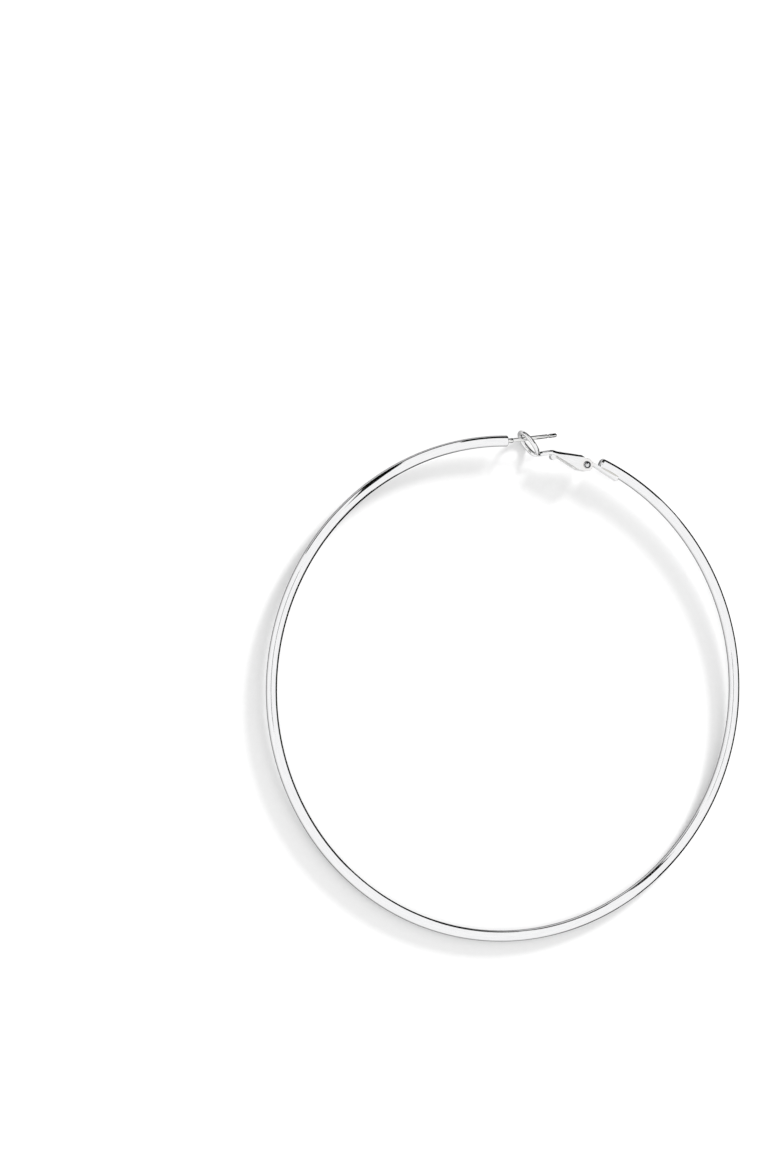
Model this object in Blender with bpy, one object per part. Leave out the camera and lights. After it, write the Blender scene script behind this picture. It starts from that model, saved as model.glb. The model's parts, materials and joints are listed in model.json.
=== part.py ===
"""A large hoop earring with an omega clip, lying on its side as it rests on a table.

Everything is modelled flat in the hoop's own plane first: the hoop's centre is at the origin,
+Y runs through the middle of its gap and +Z is its axis. An empty then tilts the whole earring
onto the two places where it touches the table. Lengths are in metres.
"""

import math

import bmesh
import bpy
from mathutils import Matrix, Vector

MM = 0.001

# Hoop wire
HOOP_RADIUS = 50.0 * MM
WIRE_DIAMETER = 2.2 * MM
GAP_ANGLE = math.radians(23.8)
FRONT_RIM = 0.18 * MM
BACK_ROUNDING = 0.6 * MM
HOOP_STEPS = 144
WIRE_SIDES = 16

# Ear post, soldered into the front end of the wire
POST_DIAMETER = 0.8 * MM
POST_LENGTH = 10.88 * MM
POST_RISE = math.radians(7.0)
POST_ROOT = 1.0 * MM
COLLAR_DIAMETER = 0.92 * MM
COLLAR_LENGTH = 1.2 * MM
NOTCH_FROM_TIP = 1.9 * MM
NOTCH_LENGTH = 0.36 * MM
NOTCH_DEPTH = 0.09 * MM
POST_SIDES = 16

# Hinge lug, soldered under the back end of the wire
LUG_WIDTH = 1.44 * MM
LUG_LENGTH = 7.4 * MM
LUG_LEAN = math.radians(8.1)
LUG_OVER_HINGE = 0.76 * MM
LUG_IN_WIRE = 0.32 * MM
HINGE_REACH = 2.74 * MM
HINGE_DROP = 0.53 * MM
KNUCKLE_DIAMETER = 2.4 * MM
LUG_STEPS = 5
KNUCKLE_STEPS = 20

# Hinge rivet
RIVET_DIAMETER = 0.8 * MM
RIVET_CLEARANCE = 0.06 * MM
RIVET_HEAD_DIAMETER = 1.56 * MM
RIVET_HEAD_HEIGHT = 0.36 * MM
RIVET_SIDES = 24

# Clip: the ring that closes over the post
RING_LENGTH = 6.4 * MM
RING_WIDTH = 6.0 * MM
RING_BAND = 0.9 * MM
RING_THICKNESS = 0.9 * MM
RING_SLANT = math.radians(34.7)
RING_ALONG_POST = 3.95 * MM
RING_BELOW_POST = 1.23 * MM

# Clip: the slot for the post, between the two rails of the neck
SLOT_CLEARANCE = 0.2 * MM
SLOT_END_CLEARANCE = 0.7 * MM
NECK_BEND = 0.6 * MM
NECK_IN_CHANNEL = 0.92 * MM
SECTION_CORNERS = 12
SECTION_SQUARENESS = 0.72

# Clip: the channel with its two ears
SHEET = 0.35 * MM
EAR_CLEARANCE = 0.06 * MM
EYE_DIAMETER = 2.6 * MM
EYE_SHOULDER = math.radians(118)
NECK_BLOCK = 1.15 * MM
EAR_TOP = 1.56 * MM
EAR_TOP_BACK = 1.63 * MM
EAR_BOTTOM = 1.52 * MM
EAR_BOTTOM_BACK = 1.38 * MM
CHANNEL_FRONT_RISE = 0.06 * MM
EAR_EDGE = 0.12 * MM
EYE_STEPS = 16
KNOB_DIAMETER = 1.2 * MM
KNOB_WIDTH = 1.25 * MM
KNOB_DROP = 0.78 * MM
KNOB_BACK = 0.72 * MM

# Colours of the finish: bright plated metal and a steel post
PLATED = (0.80, 0.80, 0.81, 1.0)
PLATED_ROUGHNESS = 0.08
CLIP_ROUGHNESS = 0.14
RIVET_ROUGHNESS = 0.2

WIRE_RADIUS = WIRE_DIAMETER / 2
POST_RADIUS = POST_DIAMETER / 2


def on_circle(radius, clockwise):
    """A point in the hoop's plane, by its radius and its angle clockwise from +Y."""
    return Vector((radius * math.sin(clockwise), radius * math.cos(clockwise), 0.0))


def turned_about_z(vector, angle):
    return Matrix.Rotation(angle, 3, "Z") @ vector


# Places that follow from the sizes
WIRE_END = on_circle(HOOP_RADIUS, -GAP_ANGLE / 2)
POST_DIRECTION = turned_about_z(Vector((1.0, 0.0, 0.0)), GAP_ANGLE / 2 + POST_RISE)
POST_TIP = WIRE_END + POST_LENGTH * POST_DIRECTION
HINGE_RADIUS = HOOP_RADIUS - WIRE_RADIUS - HINGE_DROP
HINGE = on_circle(HINGE_RADIUS, GAP_ANGLE / 2 - HINGE_REACH / HINGE_RADIUS)
EAR_INSIDE = LUG_WIDTH / 2 + EAR_CLEARANCE
EAR_OUTSIDE = EAR_INSIDE + SHEET
SLOT_HALF = POST_RADIUS + SLOT_CLEARANCE
CHANNEL_LENGTH = (POST_TIP - HINGE).length - SLOT_END_CLEARANCE


def clip_frame():
    """(distance from the hinge to the ring's centre, angle of the clip's own X axis in the hoop's plane).

    The clip's own frame has its origin on the hinge and the ring's centre on its -X axis. The ring's
    centre lies RING_BELOW_POST under the post, measured in the ring's own slanted plane, so the
    angle of the frame is refined a few times until the two agree.
    """
    crossing = WIRE_END + RING_ALONG_POST * POST_DIRECTION
    angle = 0.0
    for _ in range(12):
        down_the_ring = turned_about_z(Vector((1.0, 0.0, 0.0)), angle - RING_SLANT)
        to_hinge = HINGE - (crossing + RING_BELOW_POST * down_the_ring)
        angle = math.atan2(to_hinge.y, to_hinge.x)
    return to_hinge.length, angle


CLIP_REACH, CLIP_ANGLE = clip_frame()


def new_object(name, bm):
    """An object that holds the mesh, with flat ends kept crisp and round faces smooth."""
    bmesh.ops.recalc_face_normals(bm, faces=bm.faces)
    mesh = bpy.data.meshes.new(name)
    bm.to_mesh(mesh)
    bm.free()
    mesh.shade_smooth()
    mesh.set_sharp_from_angle(angle=math.radians(35))
    obj = bpy.data.objects.new(name, mesh)
    bpy.context.scene.collection.objects.link(obj)
    return obj


def bridged(name, rings):
    """A closed tube through rings of points, with a flat face at each end."""
    bm = bmesh.new()
    loops = [[bm.verts.new(point) for point in ring] for ring in rings]
    for before, after in zip(loops, loops[1:]):
        for i in range(len(before)):
            bm.faces.new((before[i - 1], before[i], after[i], after[i - 1]))
    bm.faces.new(loops[0])
    bm.faces.new(loops[-1])
    return new_object(name, bm)


def turned(name, profile, sides, place):
    """A turned piece: the profile holds (radius, height) pairs from one end of the axis to the other."""
    bm = bmesh.new()
    verts = [bm.verts.new((radius, 0.0, height)) for radius, height in profile]
    edges = [bm.edges.new(pair) for pair in zip(verts, verts[1:])]
    bmesh.ops.spin(bm, geom=verts + edges, cent=(0, 0, 0), axis=(0, 0, 1), dvec=(0, 0, 0),
                   angle=math.tau, steps=sides, use_merge=True)
    bmesh.ops.remove_doubles(bm, verts=bm.verts, dist=0.001 * MM)
    bmesh.ops.transform(bm, matrix=place, verts=bm.verts)
    return new_object(name, bm)


def slab(name, outline, low, high):
    """The outline, in X and Y, extruded from z = low to z = high."""
    bm = bmesh.new()
    face = bm.faces.new([bm.verts.new((x, y, low)) for x, y in outline])
    top = bmesh.ops.extrude_face_region(bm, geom=[face])
    raised = [item for item in top["geom"] if isinstance(item, bmesh.types.BMVert)]
    bmesh.ops.translate(bm, vec=(0, 0, high - low), verts=raised)
    return new_object(name, bm)


def helper(obj):
    """Marks a piece that only takes part in a Boolean."""
    obj.hide_render = True
    obj.display_type = "WIRE"
    return obj


def boolean(obj, operation, other):
    modifier = obj.modifiers.new(operation.lower() + " " + other.name, "BOOLEAN")
    modifier.operation = operation
    modifier.object = helper(other)


def material(name, colour, roughness):
    found = bpy.data.materials.get(name) or bpy.data.materials.new(name)
    found.use_nodes = True
    shader = found.node_tree.nodes["Principled BSDF"]
    shader.inputs["Base Color"].default_value = colour
    shader.inputs["Metallic"].default_value = 1.0
    shader.inputs["Roughness"].default_value = roughness
    return found


def hoop_wire():
    """The round wire, spun round its gap, with a flat front end and a rounded back end."""
    bm = bmesh.new()
    section = bmesh.ops.create_circle(bm, segments=WIRE_SIDES, radius=WIRE_RADIUS)["verts"]
    upright = Matrix.Rotation(math.radians(90), 4, "X")
    to_front_end = Matrix.Rotation(math.radians(90) + GAP_ANGLE / 2, 4, "Z")
    place = to_front_end @ Matrix.Translation((HOOP_RADIUS, 0, 0)) @ upright
    bmesh.ops.transform(bm, matrix=place, verts=section)
    front = bm.edges[:]
    spun = bmesh.ops.spin(bm, geom=section + front, cent=(0, 0, 0), axis=(0, 0, 1), dvec=(0, 0, 0),
                          angle=math.tau - GAP_ANGLE, steps=HOOP_STEPS)
    back = [item for item in spun["geom_last"] if isinstance(item, bmesh.types.BMEdge)]
    for rim, rounding, segments in ((front, FRONT_RIM, 2), (back, BACK_ROUNDING, 4)):
        bmesh.ops.contextual_create(bm, geom=rim)
        bmesh.ops.bevel(bm, geom=rim, offset=rounding, segments=segments, profile=0.5,
                        affect="EDGES", material=-1)
    return new_object("hoop", bm)


def ear_post():
    """The post with its collar, its notch and its rounded tip, turned about its own axis."""
    notch_end = POST_LENGTH - NOTCH_FROM_TIP + NOTCH_LENGTH / 2
    notch_start = notch_end - NOTCH_LENGTH
    notch_radius = POST_RADIUS - NOTCH_DEPTH
    profile = [
        (0.0, -POST_ROOT),
        (COLLAR_DIAMETER / 2, -POST_ROOT),
        (COLLAR_DIAMETER / 2, COLLAR_LENGTH),
        (POST_RADIUS, COLLAR_LENGTH + (COLLAR_DIAMETER / 2 - POST_RADIUS)),
        (POST_RADIUS, notch_start - NOTCH_DEPTH),
        (notch_radius, notch_start),
        (notch_radius, notch_end),
        (POST_RADIUS, notch_end + NOTCH_DEPTH),
    ]
    for step in range(5):
        angle = math.radians(90) * step / 4
        profile.append((POST_RADIUS * math.cos(angle),
                        POST_LENGTH - POST_RADIUS * (1 - math.sin(angle))))
    along = POST_DIRECTION.to_track_quat("Z", "Y").to_matrix().to_4x4()
    return turned("ear_post", profile, POST_SIDES, Matrix.Translation(WIRE_END) @ along)


def hinge_lug():
    """A straight strip under the wire whose front end is a round knuckle, in one outline."""
    knuckle = KNUCKLE_DIAMETER / 2
    lean = -(GAP_ANGLE / 2 + LUG_LEAN)
    ahead = turned_about_z(Vector((1.0, 0.0, 0.0)), lean)
    upward = turned_about_z(Vector((0.0, 1.0, 0.0)), lean)
    cut = HINGE + LUG_LENGTH * ahead
    low_end = cut + LUG_OVER_HINGE * upward
    in_wire = HOOP_RADIUS - WIRE_RADIUS + LUG_IN_WIRE
    across = cut.dot(upward)
    high_end = cut + (math.sqrt(across ** 2 - cut.length_squared + in_wire ** 2) - across) * upward
    last = math.atan2(high_end.x, high_end.y)
    first = GAP_ANGLE / 2 + BACK_ROUNDING / HOOP_RADIUS
    top = [on_circle(in_wire, last + (first - last) * step / LUG_STEPS) for step in range(LUG_STEPS + 1)]
    to_top = top[-1] - HINGE
    leaves = math.atan2(to_top.y, to_top.x) + math.acos(knuckle / to_top.length)
    returns = lean + math.asin(LUG_OVER_HINGE / knuckle) + math.tau
    arc = []
    for step in range(KNUCKLE_STEPS + 1):
        angle = leaves + (returns - leaves) * step / KNUCKLE_STEPS
        arc.append(HINGE + knuckle * Vector((math.cos(angle), math.sin(angle), 0.0)))
    outline = [point.xy for point in [low_end] + top + arc]
    return slab("hinge_lug", outline, -LUG_WIDTH / 2, LUG_WIDTH / 2)


def cylinder(name, diameter, width, sides, place):
    radius = diameter / 2
    profile = [(0.0, -width / 2), (radius, -width / 2), (radius, width / 2), (0.0, width / 2)]
    return turned(name, profile, sides, place)


def channel_outline():
    """Side view of the channel in the clip's own X and Y: the web's front edge, its top, the eye, the underside."""
    half = RING_THICKNESS / 2
    front = -CHANNEL_LENGTH
    ear_start = front + NECK_BLOCK
    eye = EYE_DIAMETER / 2
    low_corner = Vector((-EAR_BOTTOM_BACK, -EAR_BOTTOM))
    last = math.atan2(low_corner.y, low_corner.x) + math.acos(eye / low_corner.length)
    outline = [
        (front, -half),
        (front, half),
        (ear_start, half + CHANNEL_FRONT_RISE),
        (-EAR_TOP_BACK, EAR_TOP),
    ]
    for step in range(EYE_STEPS + 1):
        angle = EYE_SHOULDER + (last - EYE_SHOULDER) * step / EYE_STEPS
        outline.append((eye * math.cos(angle), eye * math.sin(angle)))
    outline += [tuple(low_corner), (ear_start, CHANNEL_FRONT_RISE / 2 - half)]
    return outline


def channel_hollow():
    """The space between the ears, under the web, open at the back and below."""
    ear_start = -CHANNEL_LENGTH + NECK_BLOCK
    top_at_start = RING_THICKNESS / 2 + CHANNEL_FRONT_RISE - SHEET
    slope = (EAR_TOP - RING_THICKNESS / 2 - CHANNEL_FRONT_RISE) / (-EAR_TOP_BACK - ear_start)
    beyond = EYE_DIAMETER
    outline = [
        (ear_start, top_at_start),
        (beyond, top_at_start + slope * (beyond - ear_start)),
        (beyond, -2 * EAR_BOTTOM),
        (ear_start, -2 * EAR_BOTTOM),
    ]
    return slab("channel_hollow", outline, -EAR_INSIDE, EAR_INSIDE)


def side_line():
    """The middle line of the bent loop in side view: down the ring, round the bend, up the neck, into the channel."""
    ring_centre = Vector((-CLIP_REACH, 0.0))
    down = Vector((math.cos(RING_SLANT), -math.sin(RING_SLANT)))
    corner = ring_centre + (RING_LENGTH / 2 - RING_BAND / 2) * down
    neck_top = Vector((-CHANNEL_LENGTH, 0.0))
    neck_end = Vector((-CHANNEL_LENGTH + NECK_IN_CHANNEL, 0.0))
    upper_end = ring_centre - RING_LENGTH * down
    points = [upper_end, ring_centre]
    for before, at, after in ((ring_centre, corner, neck_top), (corner, neck_top, neck_end)):
        enter = at + NECK_BEND * (before - at).normalized()
        leave = at + NECK_BEND * (after - at).normalized()
        for step in range(7):
            t = step / 6
            points.append((1 - t) ** 2 * enter + 2 * t * (1 - t) * at + t ** 2 * leave)
    points.append(neck_end)
    return points


def along(points, distance):
    """(point, direction) at a distance along a chain of points, measured from the second one."""
    travelled = -(points[1] - points[0]).length
    for before, after in zip(points, points[1:]):
        length = (after - before).length
        if travelled + length >= distance or after is points[-1]:
            direction = (after - before).normalized()
            return before + (distance - travelled) * direction, direction
        travelled += length


def loop_stations():
    """One side of the loop seen flat: (distance along the side line, distance from the middle, half width)."""
    length = RING_LENGTH / 2 - RING_BAND / 2
    width = RING_WIDTH / 2 - RING_BAND / 2
    rail_half = (EAR_OUTSIDE - SLOT_HALF) / 2
    rail_middle = (EAR_OUTSIDE + SLOT_HALF) / 2
    stations = []
    leaving = math.radians(138)
    for step in range(15):
        angle = leaving * step / 14
        stations.append((-length * math.cos(angle), width * math.sin(angle), RING_BAND / 2))
    start = Vector((-length * math.cos(leaving), width * math.sin(leaving)))
    heading = Vector((length * math.sin(leaving), width * math.cos(leaving))).normalized()
    end = Vector((length + RING_BAND, rail_middle))
    reach = (end - start).length / 2.2
    controls = (start, start + reach * heading, end - Vector((reach, 0.0)), end)
    for step in range(1, 9):
        t = step / 8
        weights = ((1 - t) ** 3, 3 * t * (1 - t) ** 2, 3 * t * t * (1 - t), t ** 3)
        point = sum((weight * control for weight, control in zip(weights, controls)), Vector((0.0, 0.0)))
        stations.append((point.x, point.y, RING_BAND / 2 + (rail_half - RING_BAND / 2) * t))
    line = side_line()
    total = sum((b - a).length for a, b in zip(line[1:], line[2:]))
    steps = 10
    for step in range(1, steps + 1):
        stations.append((end.x + (total - end.x) * step / steps, rail_middle, rail_half))
    return stations


def omega_loop():
    """The bent loop: rail, ring and rail in one length of rounded section."""
    line = side_line()
    one_side = loop_stations()
    other_side = [(s, -w, half) for s, w, half in reversed(one_side[1:])]
    stations = other_side + one_side
    centres = []
    normals = []
    for s, w, _ in stations:
        point, direction = along(line, s)
        centres.append(Vector((point.x, point.y, w)))
        normals.append(Vector((-direction.y, direction.x, 0.0)))
    rings = []
    last = len(stations) - 1
    half_thickness = RING_THICKNESS / 2
    for i, (_, _, half_width) in enumerate(stations):
        tangent = (centres[min(i + 1, last)] - centres[max(i - 1, 0)]).normalized()
        across = tangent.cross(normals[i]).normalized()
        normal = across.cross(tangent).normalized()
        ring = []
        for corner in range(SECTION_CORNERS):
            angle = math.tau * corner / SECTION_CORNERS
            c, s = math.cos(angle), math.sin(angle)
            wide = math.copysign(abs(c) ** SECTION_SQUARENESS, c) * half_width
            thick = math.copysign(abs(s) ** SECTION_SQUARENESS, s) * half_thickness
            ring.append(centres[i] + wide * across + thick * normal)
        rings.append(ring)
    return bridged("omega_loop", rings)


def omega_clip():
    """The channel with its ears, joined with the bent loop, and the knob under its neck."""
    clip = slab("omega_clip", channel_outline(), -EAR_OUTSIDE, EAR_OUTSIDE)
    edge = clip.modifiers.new("rounded edges", "BEVEL")
    edge.width = EAR_EDGE
    edge.segments = 2
    edge.limit_method = "ANGLE"
    edge.angle_limit = math.radians(60)
    boolean(clip, "DIFFERENCE", channel_hollow())
    boolean(clip, "UNION", omega_loop())
    knob_place = Matrix.Translation((-CHANNEL_LENGTH + KNOB_BACK, -KNOB_DROP, 0))
    boolean(clip, "UNION", cylinder("knob", KNOB_DIAMETER, KNOB_WIDTH, 16, knob_place))
    bore = RIVET_DIAMETER + 2 * RIVET_CLEARANCE
    boolean(clip, "DIFFERENCE", cylinder("ear_bore", bore, 4 * EAR_OUTSIDE, RIVET_SIDES, Matrix()))
    return clip


def hinge_rivet():
    """The rivet: a straight shank with a domed head outside each ear."""
    seat = EAR_OUTSIDE + RIVET_CLEARANCE
    head = RIVET_HEAD_DIAMETER / 2
    shank = RIVET_DIAMETER / 2
    upper = [(shank, 0.0), (shank, seat), (head, seat)]
    for step in range(1, 6):
        angle = math.radians(90) * step / 5
        upper.append((head * math.cos(angle), seat + RIVET_HEAD_HEIGHT * math.sin(angle)))
    lower = [(radius, -height) for radius, height in reversed(upper[1:])]
    return turned("hinge_rivet", lower + upper[1:], RIVET_SIDES, Matrix())


def rest_tilt():
    """The hoop lies on the side of the clip's ring and on the far side of its wire: (tilt, axis direction)."""
    ring = HINGE + turned_about_z(Vector((-CLIP_REACH, 0.0, 0.0)), CLIP_ANGLE)
    span = ring.length + HOOP_RADIUS
    over = math.hypot(span, RING_WIDTH / 2)
    tilt = math.atan2(RING_WIDTH / 2, span) - math.asin(WIRE_RADIUS / over)
    axis = ring.cross(Vector((0.0, 0.0, 1.0))).normalized()
    return tilt, axis


def build():
    for old in list(bpy.data.objects):
        bpy.data.objects.remove(old, do_unlink=True)

    hoop = hoop_wire()
    boolean(hoop, "UNION", ear_post())
    boolean(hoop, "UNION", hinge_lug())
    at_hinge = Matrix.Translation(HINGE)
    bore = RIVET_DIAMETER + 2 * RIVET_CLEARANCE
    boolean(hoop, "DIFFERENCE", cylinder("knuckle_bore", bore, 4 * LUG_WIDTH, RIVET_SIDES, at_hinge))
    clip = omega_clip()
    rivet = hinge_rivet()

    # The post's tip reaches further from the hoop's centre than the wire on the other side does
    furthest = POST_TIP.y + POST_RADIUS * (math.cos(GAP_ANGLE / 2 + POST_RISE) - 1)
    middle = (furthest - HOOP_RADIUS - WIRE_RADIUS) / 2
    tilt, axis = rest_tilt()
    rest = bpy.data.objects.new("rest_pose", None)
    bpy.context.scene.collection.objects.link(rest)
    rest.matrix_world = (
        Matrix.Translation((0, -middle, WIRE_RADIUS + HOOP_RADIUS * math.sin(tilt)))
        @ Matrix.Rotation(tilt, 4, axis)
    )
    hinge_axis = bpy.data.objects.new("hinge_axis", None)
    bpy.context.scene.collection.objects.link(hinge_axis)
    hinge_axis.parent = rest
    hinge_axis.location = HINGE
    for obj in (clip, rivet):
        obj.parent = hinge_axis
        obj.rotation_euler.z = CLIP_ANGLE
    hoop.parent = rest
    for obj in bpy.data.objects:
        if obj.type == "MESH" and obj.parent is None:
            obj.parent = rest
    for name in ("channel_hollow", "omega_loop", "knob", "ear_bore"):
        cutter = bpy.data.objects[name]
        cutter.parent = hinge_axis
        cutter.rotation_euler.z = CLIP_ANGLE

    hoop.data.materials.append(material("plated_wire", PLATED, PLATED_ROUGHNESS))
    clip.data.materials.append(material("plated_clip", PLATED, CLIP_ROUGHNESS))
    rivet.data.materials.append(material("rivet_metal", PLATED, RIVET_ROUGHNESS))


build()
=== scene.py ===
# %% [markdown]
# A large hoop earring in polished silver-tone metal, dressed for its picture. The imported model
# gives the fixed frame: where each node is, and how the clip turns on its hinge. Its faces are few
# and flat, and mirror metal shows every one of them. So each of its pieces is made again here from
# the same sizes, with fine round surfaces.

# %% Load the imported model
import json
import math

import bmesh
import bpy
from mathutils import Matrix, Vector


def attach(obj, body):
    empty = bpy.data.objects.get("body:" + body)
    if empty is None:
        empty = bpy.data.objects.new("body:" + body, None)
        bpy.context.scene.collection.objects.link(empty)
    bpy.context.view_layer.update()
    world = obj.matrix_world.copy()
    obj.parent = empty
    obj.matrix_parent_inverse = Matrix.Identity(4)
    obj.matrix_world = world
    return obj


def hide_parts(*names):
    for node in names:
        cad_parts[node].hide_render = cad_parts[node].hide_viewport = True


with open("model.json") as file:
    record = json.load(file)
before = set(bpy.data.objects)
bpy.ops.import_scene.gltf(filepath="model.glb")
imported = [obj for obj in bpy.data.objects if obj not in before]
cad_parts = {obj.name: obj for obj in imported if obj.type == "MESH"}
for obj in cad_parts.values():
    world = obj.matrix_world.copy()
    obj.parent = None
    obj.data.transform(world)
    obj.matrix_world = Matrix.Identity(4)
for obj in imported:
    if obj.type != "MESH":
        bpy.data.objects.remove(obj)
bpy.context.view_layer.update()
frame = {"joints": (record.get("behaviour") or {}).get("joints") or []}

# %% [markdown]
# A real earring of this kind starts as drawn wire. Every size below is in millimetres and is the
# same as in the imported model. The hoop is first modelled flat: its centre is the origin, +Y runs
# through the middle of the gap and +Z is the hoop's axis. One matrix then lays it on the table.

# %% Sizes of the hoop, the post and the hinge lug
HOOP_RADIUS = 50.0
WIRE_RADIUS = 1.1
GAP_ANGLE = math.radians(23.8)
FRONT_RIM = 0.18
BACK_ROUNDING = 0.6
POST_RADIUS = 0.4
POST_LENGTH = 10.88
POST_RISE = math.radians(7.0)
LUG_WIDTH = 1.44
LUG_LENGTH = 7.4
LUG_LEAN = math.radians(8.1)
LUG_OVER_HINGE = 0.76
LUG_IN_WIRE = 0.32
KNUCKLE_RADIUS = 1.2
HINGE_REACH = 2.74
HINGE_DROP = 0.53
print("Hoop:", 2 * (HOOP_RADIUS + WIRE_RADIUS), "mm across outside")

# %% Sizes of the clip and its rivet
RIVET_RADIUS = 0.4
RUNNING_GAP = 0.06
RIVET_HEAD = 0.78
RIVET_DOME = 0.36
RING_LENGTH = 6.4
RING_WIDTH = 6.0
RING_BAND = 0.9
RING_THICKNESS = 0.9
RING_SLANT = math.radians(34.7)
RING_ALONG_POST = 3.95
RING_BELOW_POST = 1.23
SLOT_CLEARANCE = 0.2
SLOT_END_CLEARANCE = 0.7
NECK_BEND = 0.6
NECK_IN_CHANNEL = 0.92
SHEET = 0.35
EYE_RADIUS = 1.3
EYE_SHOULDER = math.radians(118)
NECK_BLOCK = 1.15
EAR_TOP = 1.56
EAR_TOP_BACK = 1.63
EAR_BOTTOM = 1.52
EAR_BOTTOM_BACK = 1.38
FRONT_RISE = 0.06
KNOB_RADIUS = 0.6
KNOB_WIDTH = 1.25
KNOB_DROP = 0.78
KNOB_BACK = 0.72
print("Clip's ring:", RING_LENGTH, "by", RING_WIDTH, "mm")


# %% Places that follow from the sizes
def on_circle(radius, clockwise):
    """A point in the hoop's plane, by its radius and its angle clockwise from +Y."""
    return Vector((radius * math.sin(clockwise), radius * math.cos(clockwise), 0.0))


def turned(vector, angle):
    return Matrix.Rotation(angle, 3, "Z") @ vector


RIGHT = Vector((1.0, 0.0, 0.0))
WIRE_END = on_circle(HOOP_RADIUS, -GAP_ANGLE / 2)
POST_DIRECTION = turned(RIGHT, GAP_ANGLE / 2 + POST_RISE)
POST_TIP = WIRE_END + POST_LENGTH * POST_DIRECTION
HINGE_RADIUS = HOOP_RADIUS - WIRE_RADIUS - HINGE_DROP
HINGE = on_circle(HINGE_RADIUS, GAP_ANGLE / 2 - HINGE_REACH / HINGE_RADIUS)
EAR_INSIDE = LUG_WIDTH / 2 + RUNNING_GAP
EAR_OUTSIDE = EAR_INSIDE + SHEET
SLOT_HALF = POST_RADIUS + SLOT_CLEARANCE
CHANNEL_LENGTH = (POST_TIP - HINGE).length - SLOT_END_CLEARANCE
ROUNDS = 12


def clip_place():
    """(distance from the hinge to the ring's centre, turn of the clip in the hoop's plane).

    The ring hangs from the post in its own slanted plane, so its place depends on the turn, and
    the turn on its place. Each round brings the two closer.
    """
    crossing = WIRE_END + RING_ALONG_POST * POST_DIRECTION
    angle = 0.0
    for _ in range(ROUNDS):
        centre = crossing + RING_BELOW_POST * turned(RIGHT, angle - RING_SLANT)
        to_hinge = HINGE - centre
        angle = math.atan2(to_hinge.y, to_hinge.x)
    return to_hinge.length, angle


CLIP_REACH, CLIP_ANGLE = clip_place()
print("The ring's centre is", round(CLIP_REACH, 2), "mm from the hinge")

# %% [markdown]
# By itself the hoop lies on its side. Two places touch the table: the side of the clip's ring, and
# the wire on the far side. That leans the hoop by about one degree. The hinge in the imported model
# is where this matrix puts it, which the cell measures.


# %% Lay the hoop on the table
MM_PER_METRE = 1000.0


def resting():
    """From the flat hoop in millimetres to where the earring lies, in metres."""
    ring = HINGE + turned(Vector((-CLIP_REACH, 0.0, 0.0)), CLIP_ANGLE)
    span = ring.length + HOOP_RADIUS
    lean = (math.atan2(RING_WIDTH / 2, span)
            - math.asin(WIRE_RADIUS / math.hypot(span, RING_WIDTH / 2)))
    axis = ring.cross(Vector((0.0, 0.0, 1.0))).normalized()
    furthest = POST_TIP.y + POST_RADIUS * (math.cos(GAP_ANGLE / 2 + POST_RISE) - 1)
    middle = (furthest - HOOP_RADIUS - WIRE_RADIUS) / 2
    up = WIRE_RADIUS + HOOP_RADIUS * math.sin(lean)
    return (Matrix.Scale(1 / MM_PER_METRE, 4) @ Matrix.Translation((0.0, -middle, up))
            @ Matrix.Rotation(lean, 4, axis))


HOOP_PLACE = resting()
CLIP_PLACE = HOOP_PLACE @ Matrix.Translation(HINGE) @ Matrix.Rotation(CLIP_ANGLE, 4, "Z")
hinge_in_model = Vector(frame["joints"][0]["pos_m"])
hinge_off = (HOOP_PLACE @ HINGE - hinge_in_model).length * MM_PER_METRE
print("Hinge off by", round(hinge_off, 4), "mm")


# %% [markdown]
# Three small tools make all the pieces. A turned piece is a profile spun round its axis, as on a
# lathe. A slab is an outline pulled up to a thickness, as cut from sheet. A swept piece is a
# section pulled along a path, ring after ring. Each finished mesh holds its own place, and its
# object stays at the origin.


# %% Tools: finish, turn and cut
# Points closer than this, in mm, count as one.
TOLERANCE = 0.001


def finish_piece(name, bm, place, sharp=40):
    """An object with the mesh in its place, its faces pointing out and its flat faces crisp."""
    bmesh.ops.remove_doubles(bm, verts=bm.verts, dist=TOLERANCE)
    bmesh.ops.transform(bm, matrix=place, verts=bm.verts)
    bmesh.ops.recalc_face_normals(bm, faces=bm.faces)
    mesh = bpy.data.meshes.new(name)
    bm.to_mesh(mesh)
    bm.free()
    mesh.shade_smooth()
    mesh.set_sharp_from_angle(angle=math.radians(sharp))
    obj = bpy.data.objects.new(name, mesh)
    bpy.context.scene.collection.objects.link(obj)
    return obj


def spun(profile, sides, place=Matrix()):
    """A turned piece. The profile holds (radius, height) pairs along the axis."""
    bm = bmesh.new()
    points = [bm.verts.new((radius, 0.0, height)) for radius, height in profile]
    lines = [bm.edges.new(pair) for pair in zip(points, points[1:])]
    bmesh.ops.spin(bm, geom=points + lines, cent=(0, 0, 0), axis=(0, 0, 1), dvec=(0, 0, 0),
                   angle=math.tau, steps=sides, use_merge=True)
    bmesh.ops.transform(bm, matrix=place, verts=bm.verts)
    return bm


def slab(outline, half_width):
    """The outline, in X and Y, pulled from z = -half_width to +half_width."""
    bm = bmesh.new()
    face = bm.faces.new([bm.verts.new((x, y, -half_width)) for x, y in outline])
    pulled = bmesh.ops.extrude_face_region(bm, geom=[face])["geom"]
    raised = [item for item in pulled if isinstance(item, bmesh.types.BMVert)]
    bmesh.ops.translate(bm, vec=(0, 0, 2 * half_width), verts=raised)
    return bm


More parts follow.
